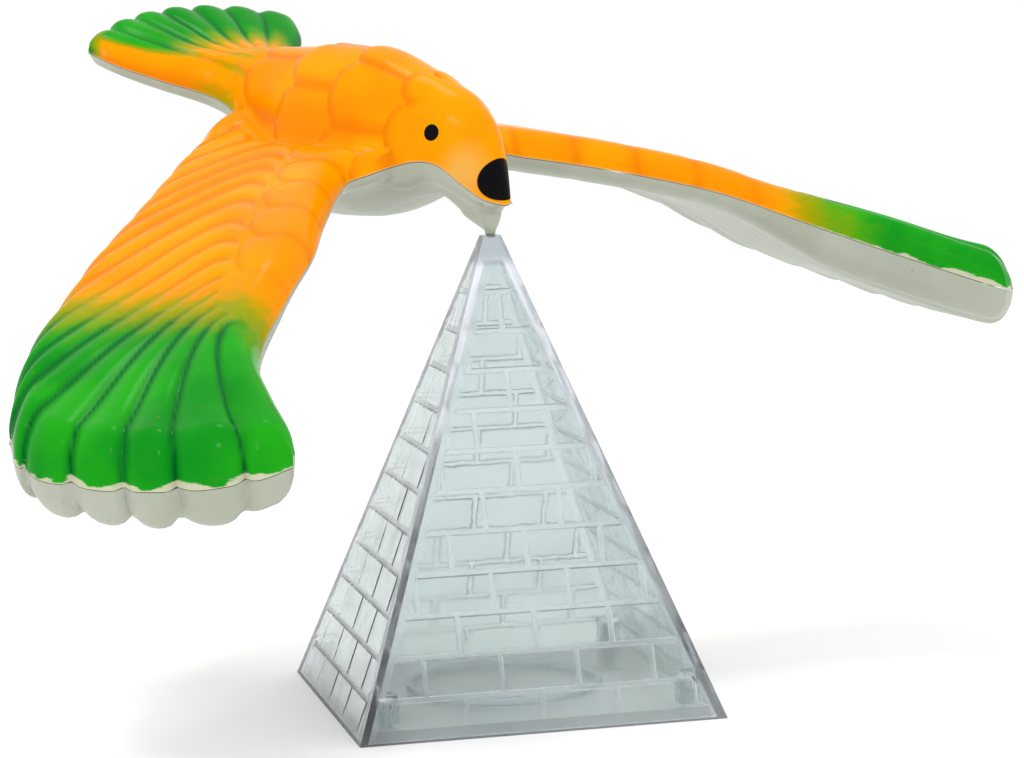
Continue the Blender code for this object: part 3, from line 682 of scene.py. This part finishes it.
def pyramid_shell():
    shape = four_sides(brick_face())
    boundary = [e for e in shape.edges if e.is_boundary]
    bmesh.ops.holes_fill(shape, edges=boundary, sides=0)
    shell = solid_object("brick_pyramid", shape)
    wall = WALL * math.hypot(1, SLOPE)
    roof = APEX - SOLID_TIP
    below = -0.002
    hollow = frustum("hollow", side_half(below) - wall, side_half(roof) - wall, below, roof)
    plate_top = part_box("base_plate")[0].z + PLATE_THICKNESS
    bosses = corner_cylinders("bosses", BOSS_RADIUS, plate_top + CLEARANCE, BOSS_TOP)
    bores = corner_cylinders("bores", BORE_RADIUS, plate_top, plate_top + BORE_LENGTH)
    ball = bmesh.new()
    bmesh.ops.create_uvsphere(ball, u_segments=32, v_segments=24, radius=BALL_RADIUS + CLEARANCE)
    bmesh.ops.translate(ball, verts=ball.verts, vec=PIVOT)
    dimple = solid_object("dimple", ball)
    tools = ((hollow, "DIFFERENCE"), (bosses, "UNION"), (bores, "DIFFERENCE"),
             (dimple, "DIFFERENCE"))
    for cutter, operation in tools:
        step = shell.modifiers.new(cutter.name, "BOOLEAN")
        step.operation = operation
        step.solver = "EXACT"
        step.object = cutter
    graph = bpy.context.evaluated_depsgraph_get()
    shape = bmesh.new()
    shape.from_mesh(bpy.data.meshes.new_from_object(shell.evaluated_get(graph)))
    mortar = shape.verts.layers.float.new("mortar")
    border = shape.verts.layers.float.new("border")
    for vert in shape.verts:
        across, away = sorted((abs(vert.co.x), abs(vert.co.y)))
        depth = side_half(vert.co.z) - away
        if depth < GROOVE_DEPTH * 1.05:
            inside = (side_half(vert.co.z) - across) / math.hypot(1, SLOPE)
            vert[mortar] = depth / GROOVE_DEPTH
            plain = inside < BORDER + 1e-5 or vert.co.z < FOOT
            vert[border] = 1.0 if plain else 0.0
    for old in (shell, hollow, bosses, bores, dimple):
        bpy.data.objects.remove(old, do_unlink=True)
    return finished_piece("brick_pyramid", shape, "pyramid", "clear_plastic", "pyramid_shell")


# ---------------------------------------------------------------- shader helpers

class Graph:
    """Short calls for building a node tree."""

    def __init__(self, tree):
        self.tree = tree

    def node(self, kind, inputs=(), **settings):
        made = self.tree.nodes.new(kind)
        for key, value in settings.items():
            setattr(made, key, value)
        for key, value in dict(inputs).items():
            socket = made.inputs[key]
            if isinstance(value, bpy.types.NodeSocket):
                self.tree.links.new(value, socket)
            else:
                socket.default_value = value
        return made

    def math(self, operation, *values, clamp=False):
        made = self.node("ShaderNodeMath", operation=operation, use_clamp=clamp)
        for number, value in enumerate(values):
            if isinstance(value, bpy.types.NodeSocket):
                self.tree.links.new(value, made.inputs[number])
            else:
                made.inputs[number].default_value = value
        return made.outputs[0]

    def ramp(self, value, low, high, to_low=0.0, to_high=1.0):
        made = self.node("ShaderNodeMapRange", {"Value": value, "From Min": low,
                                                "From Max": high, "To Min": to_low,
                                                "To Max": to_high},
                         interpolation_type="SMOOTHSTEP")
        return made.outputs["Result"]

    def mix(self, share, first, second):
        made = self.node("ShaderNodeMix", data_type="RGBA")
        for name, value in (("Factor_Float", share), ("A_Color", first), ("B_Color", second)):
            socket = next(i for i in made.inputs if i.identifier == name)
            if isinstance(value, bpy.types.NodeSocket):
                self.tree.links.new(value, socket)
            else:
                socket.default_value = value if name == "Factor_Float" else (*value, 1.0)
        return next(o for o in made.outputs if o.identifier == "Result_Color")

    def noise(self, place, scale, detail=3.0):
        made = self.node("ShaderNodeTexNoise", {"Vector": place, "Scale": scale,
                                                "Detail": detail})
        return made.outputs["Fac"]

    def attribute(self, name):
        return self.node("ShaderNodeAttribute", attribute_name=name).outputs["Fac"]

    def object_place(self):
        return self.node("ShaderNodeTexCoord").outputs["Object"]

    def place_in_box(self, low, size):
        """Object coordinates from a box's low corner, in shares of the box's sides."""
        return self.node("ShaderNodeMapping", {"Vector": self.object_place(), "Location": low,
                                               "Scale": size}, vector_type="TEXTURE").outputs[0]

    def place_on(self, piece):
        places = np.array([v.co for v in piece.data.vertices])
        low = places.min(axis=0)
        return self.place_in_box(low, places.max(axis=0) - low)


def new_material(name):
    made = bpy.data.materials.new(name)
    made.use_nodes = True
    graph = Graph(made.node_tree)
    return made, graph, made.node_tree.nodes["Principled BSDF"]


def spot_mask(graph, place, radii, turn, soft=0.10):
    """1 inside an ellipsoid at a place in the bird's frame, 0 outside, with a crisp rim."""
    matrix = BIRD_FRAME @ Matrix.Translation(place) @ turn.to_4x4()
    where = graph.node("ShaderNodeMapping", {"Vector": graph.object_place(),
                                             "Location": matrix.to_translation(),
                                             "Rotation": matrix.to_euler(), "Scale": radii},
                       vector_type="TEXTURE")
    far = graph.node("ShaderNodeVectorMath", {0: where.outputs[0]}, operation="LENGTH")
    return graph.ramp(far.outputs["Value"], 1 + soft / 2, 1 - soft / 2)


def surface_wear_group():
    """Mottled shade and fine bump shared by the moulded and painted plastics."""
    tree = bpy.data.node_groups.new("moulding_mottle", "ShaderNodeTree")
    tree.interface.new_socket("Vector", in_out="INPUT", socket_type="NodeSocketVector")
    tree.interface.new_socket("Scale", in_out="INPUT", socket_type="NodeSocketFloat")
    tree.interface.new_socket("Shade", in_out="OUTPUT", socket_type="NodeSocketFloat")
    tree.interface.new_socket("Specks", in_out="OUTPUT", socket_type="NodeSocketFloat")
    tree.interface.new_socket("Height", in_out="OUTPUT", socket_type="NodeSocketFloat")
    graph = Graph(tree)
    entry = tree.nodes.new("NodeGroupInput")
    leave = tree.nodes.new("NodeGroupOutput")
    broad = graph.node("ShaderNodeTexNoise", {"Vector": entry.outputs["Vector"],
                                              "Scale": entry.outputs["Scale"], "Detail": 4.0})
    finer = graph.math("MULTIPLY", entry.outputs["Scale"], 14.0)
    fine = graph.node("ShaderNodeTexNoise", {"Vector": entry.outputs["Vector"],
                                             "Scale": finer, "Detail": 2.0})
    cells = graph.math("MULTIPLY", entry.outputs["Scale"], 3.4)
    speck = graph.node("ShaderNodeTexVoronoi", {"Vector": entry.outputs["Vector"],
                                                "Scale": cells})
    tree.links.new(broad.outputs["Fac"], leave.inputs["Shade"])
    tree.links.new(graph.ramp(speck.outputs["Distance"], 0.075, 0.035), leave.inputs["Specks"])
    tree.links.new(fine.outputs["Fac"], leave.inputs["Height"])
    return tree


MOTTLE = surface_wear_group()
GROOVE_TINT = (0.93, 0.97, 1.0)   # clear plastic in a mortar groove or the plate's ring


def mottle(graph, scale):
    made = graph.node("ShaderNodeGroup", node_tree=MOTTLE)
    graph.tree.links.new(graph.object_place(), made.inputs["Vector"])
    made.inputs["Scale"].default_value = scale
    return made.outputs


def feather_paint(piece):
    made, graph, shader = new_material("orange_and_green_gloss_paint")
    wear = mottle(graph, 60.0)
    groove = graph.attribute("groove")
    green = graph.attribute("green")
    rim = graph.attribute("rim")
    ridge = graph.attribute("ridge")
    place = graph.place_on(piece)

    blot = graph.math("MULTIPLY", graph.math("SUBTRACT", graph.noise(place, 70.0), 0.5), 0.26)
    # Painted light and shade on the relief: within the orange-to-green blend, feather crests take
    # less green and come out lighter, hollows take more and come out darker.
    relief_shading = graph.math("MULTIPLY", graph.math("SUBTRACT", 0.55, ridge), 0.30)
    spray = graph.math("ADD", graph.math("ADD", green, blot), relief_shading)
    spray = graph.math("MULTIPLY", spray, graph.ramp(green, 0.0, 0.12), clamp=True)
    warm = graph.mix(graph.ramp(wear["Shade"], 0.38, 0.64), (0.90, 0.270, 0.0), (0.90, 0.330, 0.0))
    # Deeper orange in the grooves and notches: partly paint pooled there, partly painted shade in
    # the hollows.
    warm = graph.mix(graph.math("MULTIPLY", groove, 0.75), warm, (0.74, 0.165, 0.0))
    olive = graph.mix(graph.ramp(spray, 0.0, 0.40), warm, (0.36, 0.315, 0.0))
    leaf = graph.mix(graph.ramp(wear["Shade"], 0.35, 0.65), (0.004, 0.25, 0.010),
                     (0.014, 0.36, 0.008))
    # Darker blue-green in the grooves: partly paint pooled there, partly painted shade in the
    # hollows.
    leaf = graph.mix(graph.math("MULTIPLY", groove, 0.85), leaf, (0.0, 0.085, 0.020))
    coat = graph.mix(graph.ramp(spray, 0.24, 0.88), olive, leaf)

    frayed = graph.math("MULTIPLY", graph.noise(place, 420.0, 4.0), 0.30)
    ragged = graph.math("ADD", rim, frayed)
    thin = graph.ramp(graph.noise(place, 28.0), 0.36, 0.62)
    thin = graph.math("MULTIPLY", thin, graph.math("MULTIPLY", graph.attribute("tip"), 0.80))
    bare = graph.ramp(graph.math("SUBTRACT", ragged, thin), 0.38, 0.06)
    coat = graph.mix(graph.math("MULTIPLY", bare, 0.85), coat, (0.62, 0.58, 0.44))
    cheek = graph.math("ADD", cheek_mask(graph, 1), cheek_mask(graph, -1), clamp=True)
    coat = graph.mix(graph.math("MULTIPLY", cheek, 0.42), coat, (0.66, 0.50, 0.17))
    coat = graph.mix(graph.math("MULTIPLY", wear["Specks"], 0.22), coat, (0.30, 0.20, 0.02))

    black = graph.math("MAXIMUM", eye_mask(graph, 1), eye_mask(graph, -1))
    black = graph.math("MAXIMUM", black, beak_patch_mask(graph))
    coat = graph.mix(black, coat, (0.004, 0.004, 0.005))
    links = graph.tree.links
    links.new(coat, shader.inputs["Base Color"])
    links.new(graph.ramp(wear["Shade"], 0.3, 0.7, 0.15, 0.26), shader.inputs["Roughness"])
    shader.inputs["Specular IOR Level"].default_value = 0.024
    shader.inputs["Coat Weight"].default_value = 0.02
    shader.inputs["Coat Roughness"].default_value = 0.12
    raised = graph.math("ADD", graph.math("MULTIPLY", wear["Height"], 0.25),
                        graph.math("MULTIPLY", black, 3.0))
    bump = graph.node("ShaderNodeBump", {"Height": raised, "Strength": 0.25,
                                         "Distance": 0.00012})
    links.new(bump.outputs["Normal"], shader.inputs["Normal"])
    return made


def eye_mask(graph, side):
    outward = Vector((0.25, side, 0.35)).normalized()
    turn = outward.to_track_quat("Z", "X").to_matrix()
    return spot_mask(graph, (-0.0044, side * 0.0066, 0.0164), (0.00128, 0.00122, 0.0022), turn)


def cheek_mask(graph, side):
    """Where the paint is thin, low on each side of the face."""
    turn = Matrix.Rotation(math.radians(30), 3, "Y")
    return spot_mask(graph, (0.0002, side * 0.0052, 0.0102), (0.0026, 0.0030, 0.0040), turn, 1.6)


def beak_patch_mask(graph):
    turn = Matrix.Rotation(math.radians(-14), 3, "Y")
    return spot_mask(graph, (0.0042, 0.0, 0.0088), (0.0044, 0.0044, 0.0032), turn, 0.05)


def moulded_white():
    made, graph, shader = new_material("white_moulded_plastic")
    wear = mottle(graph, 75.0)
    shade = graph.mix(graph.ramp(wear["Shade"], 0.35, 0.66), (0.372, 0.396, 0.312),
                      (0.428, 0.450, 0.370))
    shade = graph.mix(graph.math("MULTIPLY", graph.attribute("groove"), 0.25), shade,
                      (0.50, 0.50, 0.44))
    shade = graph.mix(graph.math("MULTIPLY", wear["Specks"], 0.45), shade, (0.22, 0.20, 0.15))
    links = graph.tree.links
    links.new(shade, shader.inputs["Base Color"])
    links.new(graph.ramp(wear["Shade"], 0.3, 0.7, 0.32, 0.46), shader.inputs["Roughness"])
    shader.inputs["Subsurface Weight"].default_value = 0.12
    shader.inputs["Subsurface Radius"].default_value = (0.0012, 0.0011, 0.0009)
    bump = graph.node("ShaderNodeBump", {"Height": wear["Height"], "Strength": 0.25,
                                         "Distance": 0.00010})
    links.new(bump.outputs["Normal"], shader.inputs["Normal"])
    return made


def brick_lines(graph, piece):
    """Mask, tint and added haze of the mortar grooves, the plain edges and the solid tip."""
    edge_tint = graph.mix(graph.noise(graph.place_on(piece), 160.0), (0.80, 0.83, 0.91),
                          (0.90, 0.93, 0.98))
    height = graph.node("ShaderNodeSeparateXYZ", {0: graph.object_place()}).outputs["Z"]
    solid = graph.ramp(height, APEX - SOLID_TIP - 0.0006, APEX - SOLID_TIP + 0.0006)
    return [(graph.attribute("mortar"), GROOVE_TINT, 0.26),
            (graph.attribute("border"), edge_tint, 0.22),
            (solid, (0.46, 0.51, 0.56), 0.0)]


def plate_ring(graph):
    """Mask, tint and added haze of the ring on the base plate."""
    flat = graph.node("ShaderNodeVectorMath", {0: graph.object_place(), 1: (1, 1, 0)},
                      operation="MULTIPLY")
    out = graph.node("ShaderNodeVectorMath", {0: flat.outputs[0]}, operation="LENGTH")
    off_ring = graph.math("ABSOLUTE", graph.math("SUBTRACT", out.outputs["Value"], RING_RADIUS))
    return [(graph.ramp(off_ring, 0.0009, 0.0004), GROOVE_TINT, 0.26)]


def clear_plastic(name, tint, roughness, clearness, lines):
    """Clear styrene. Light rays on their way to a lamp pass straight through it."""
    made, graph, shader = new_material(name)
    wear = mottle(graph, 90.0)
    links = graph.tree.links
    colour = graph.mix(graph.ramp(wear["Shade"], 0.35, 0.65), tint,
                       tuple(min(1.0, c * 1.04) for c in tint))
    haze = graph.ramp(wear["Shade"], 0.3, 0.7, roughness, roughness * 2.2)
    for mask, line_tint, added in lines(graph):
        colour = graph.mix(mask, colour, line_tint)
        haze = graph.math("ADD", haze, graph.math("MULTIPLY", mask, added), clamp=True)
    colour = graph.mix(graph.math("MULTIPLY", wear["Specks"], 0.30), colour, (0.55, 0.52, 0.45))
    links.new(colour, shader.inputs["Base Color"])
    links.new(haze, shader.inputs["Roughness"])
    shader.inputs["Transmission Weight"].default_value = clearness
    shader.inputs["IOR"].default_value = 1.45
    bump = graph.node("ShaderNodeBump", {"Height": wear["Shade"], "Strength": 0.30,
                                         "Distance": 0.00040})
    links.new(bump.outputs["Normal"], shader.inputs["Normal"])
    lamps = graph.node("ShaderNodeLightPath").outputs["Is Shadow Ray"]
    through = graph.node("ShaderNodeBsdfTransparent", {"Color": (1.0, 1.0, 1.0, 1.0)})
    both = graph.node("ShaderNodeMixShader")
    links.new(lamps, both.inputs[0])
    links.new(shader.outputs[0], both.inputs[1])
    links.new(through.outputs[0], both.inputs[2])
    links.new(both.outputs[0], graph.tree.nodes["Material Output"].inputs["Surface"])
    return made


def steel_slug():
    made, graph, shader = new_material("turned_steel")
    wear = mottle(graph, 140.0)
    links = graph.tree.links
    shade = graph.mix(graph.ramp(wear["Shade"], 0.35, 0.65), (0.42, 0.42, 0.43),
                      (0.60, 0.60, 0.61))
    links.new(shade, shader.inputs["Base Color"])
    links.new(graph.ramp(wear["Shade"], 0.3, 0.7, 0.28, 0.48), shader.inputs["Roughness"])
    shader.inputs["Metallic"].default_value = 1.0
    bump = graph.node("ShaderNodeBump", {"Height": wear["Height"], "Strength": 0.3,
                                         "Distance": 0.00008})
    links.new(bump.outputs["Normal"], shader.inputs["Normal"])
    return made


# ---------------------------------------------------------------- studio
TABLE_HALF = 3.0
LAMP_AIM = Vector((0, 0, 0.06))
CAMERA_DEGREES = (12.813, 8.295, 1.63)      # yaw, pitch down and roll
CAMERA_DISTANCE = 0.47463                   # from the middle of the pyramid's axis
CAMERA_LENS = 109.85
CAMERA_SHIFT = (0.0148, 0.0860)


def studio():
    shape = bmesh.new()
    bmesh.ops.create_grid(shape, x_segments=2, y_segments=2, size=TABLE_HALF)
    mesh = bpy.data.meshes.new("table_top")
    shape.to_mesh(mesh)
    shape.free()
    floor = bpy.data.objects.new("table_top", mesh)
    bpy.context.scene.collection.objects.link(floor)
    made, graph, shader = new_material("pale_table")
    place = graph.place_in_box((-TABLE_HALF, -TABLE_HALF, -1), (2 * TABLE_HALF, 2 * TABLE_HALF, 2))
    shade = graph.mix(graph.noise(place, 8.0), (0.93, 0.93, 0.93), (0.97, 0.97, 0.97))
    graph.tree.links.new(shade, shader.inputs["Base Color"])
    shader.inputs["Roughness"].default_value = 0.8
    mesh.materials.append(made)

    world = bpy.data.worlds.new("studio")
    world.use_nodes = True
    world.node_tree.nodes["Background"].inputs["Color"].default_value = (1.0, 1.0, 1.0, 1.0)
    world.node_tree.nodes["Background"].inputs["Strength"].default_value = 1.05
    bpy.context.scene.world = world
    lamp("front_softbox", (-0.35, -0.70, 0.80), 0.10, 1.7)
    lamp("top_softbox", (0.05, 0.25, 0.95), 0.20, 1.6)


def lamp(name, place, size, power):
    data = bpy.data.lights.new(name, "AREA")
    data.size = size
    data.energy = power
    made = bpy.data.objects.new(name, data)
    made.location = place
    made.rotation_euler = (LAMP_AIM - Vector(place)).to_track_quat("-Z", "Y").to_euler()
    bpy.context.scene.collection.objects.link(made)


def camera():
    yaw, pitch, roll = (math.radians(a) for a in CAMERA_DEGREES)
    forward = Vector((math.sin(yaw) * math.cos(pitch), math.cos(yaw) * math.cos(pitch),
                      -math.sin(pitch)))
    right = Vector((math.cos(yaw), -math.sin(yaw), 0.0))
    down = -right.cross(forward)
    turned_right = math.cos(roll) * right + math.sin(roll) * down
    turned_down = math.cos(roll) * down - math.sin(roll) * right
    data = bpy.data.cameras.new("camera")
    data.lens = CAMERA_LENS
    data.sensor_width = 36.0
    data.shift_x, data.shift_y = CAMERA_SHIFT
    made = bpy.data.objects.new("camera", data)
    place = Vector((0, 0, APEX / 2)) - forward * CAMERA_DISTANCE
    axes = Matrix((turned_right, -turned_down, -forward)).transposed().to_4x4()
    made.matrix_world = Matrix.Translation(place) @ axes
    bpy.context.scene.collection.objects.link(made)
    bpy.context.scene.camera = made


camera()
studio()
bpy.context.scene.view_settings.view_transform = "Standard"

back = bird_shell("painted_back", True, 1.0, "orange_paint", "back_shell")
belly = bird_shell("white_belly", False, 0.62, "white_plastic", "belly_shell")
beak = lower_beak()
pyramid = pyramid_shell()
nodes = frame["nodes"]
white = moulded_white()
steel = steel_slug()
styrene = clear_plastic("clear_styrene", (0.72, 0.785, 0.78), 0.05, 0.97,
                        lambda graph: brick_lines(graph, pyramid))
# The base plate passes only 62% as clear plastic and the rest is a diffuse near-white: partly the
# plate's real haze, partly painted light that brightens the plate.
plate_styrene = clear_plastic("clear_base_styrene", (0.97, 0.99, 1.0), 0.04, 0.62, plate_ring)
finishes = ((back, feather_paint(back)), (belly, white), (beak, white), (pyramid, styrene),
            (nodes["base_plate"], plate_styrene), (nodes["left_wing_weight"], steel),
            (nodes["right_wing_weight"], steel))
for piece, material in finishes:
    piece.data.materials.clear()
    piece.data.materials.append(material)
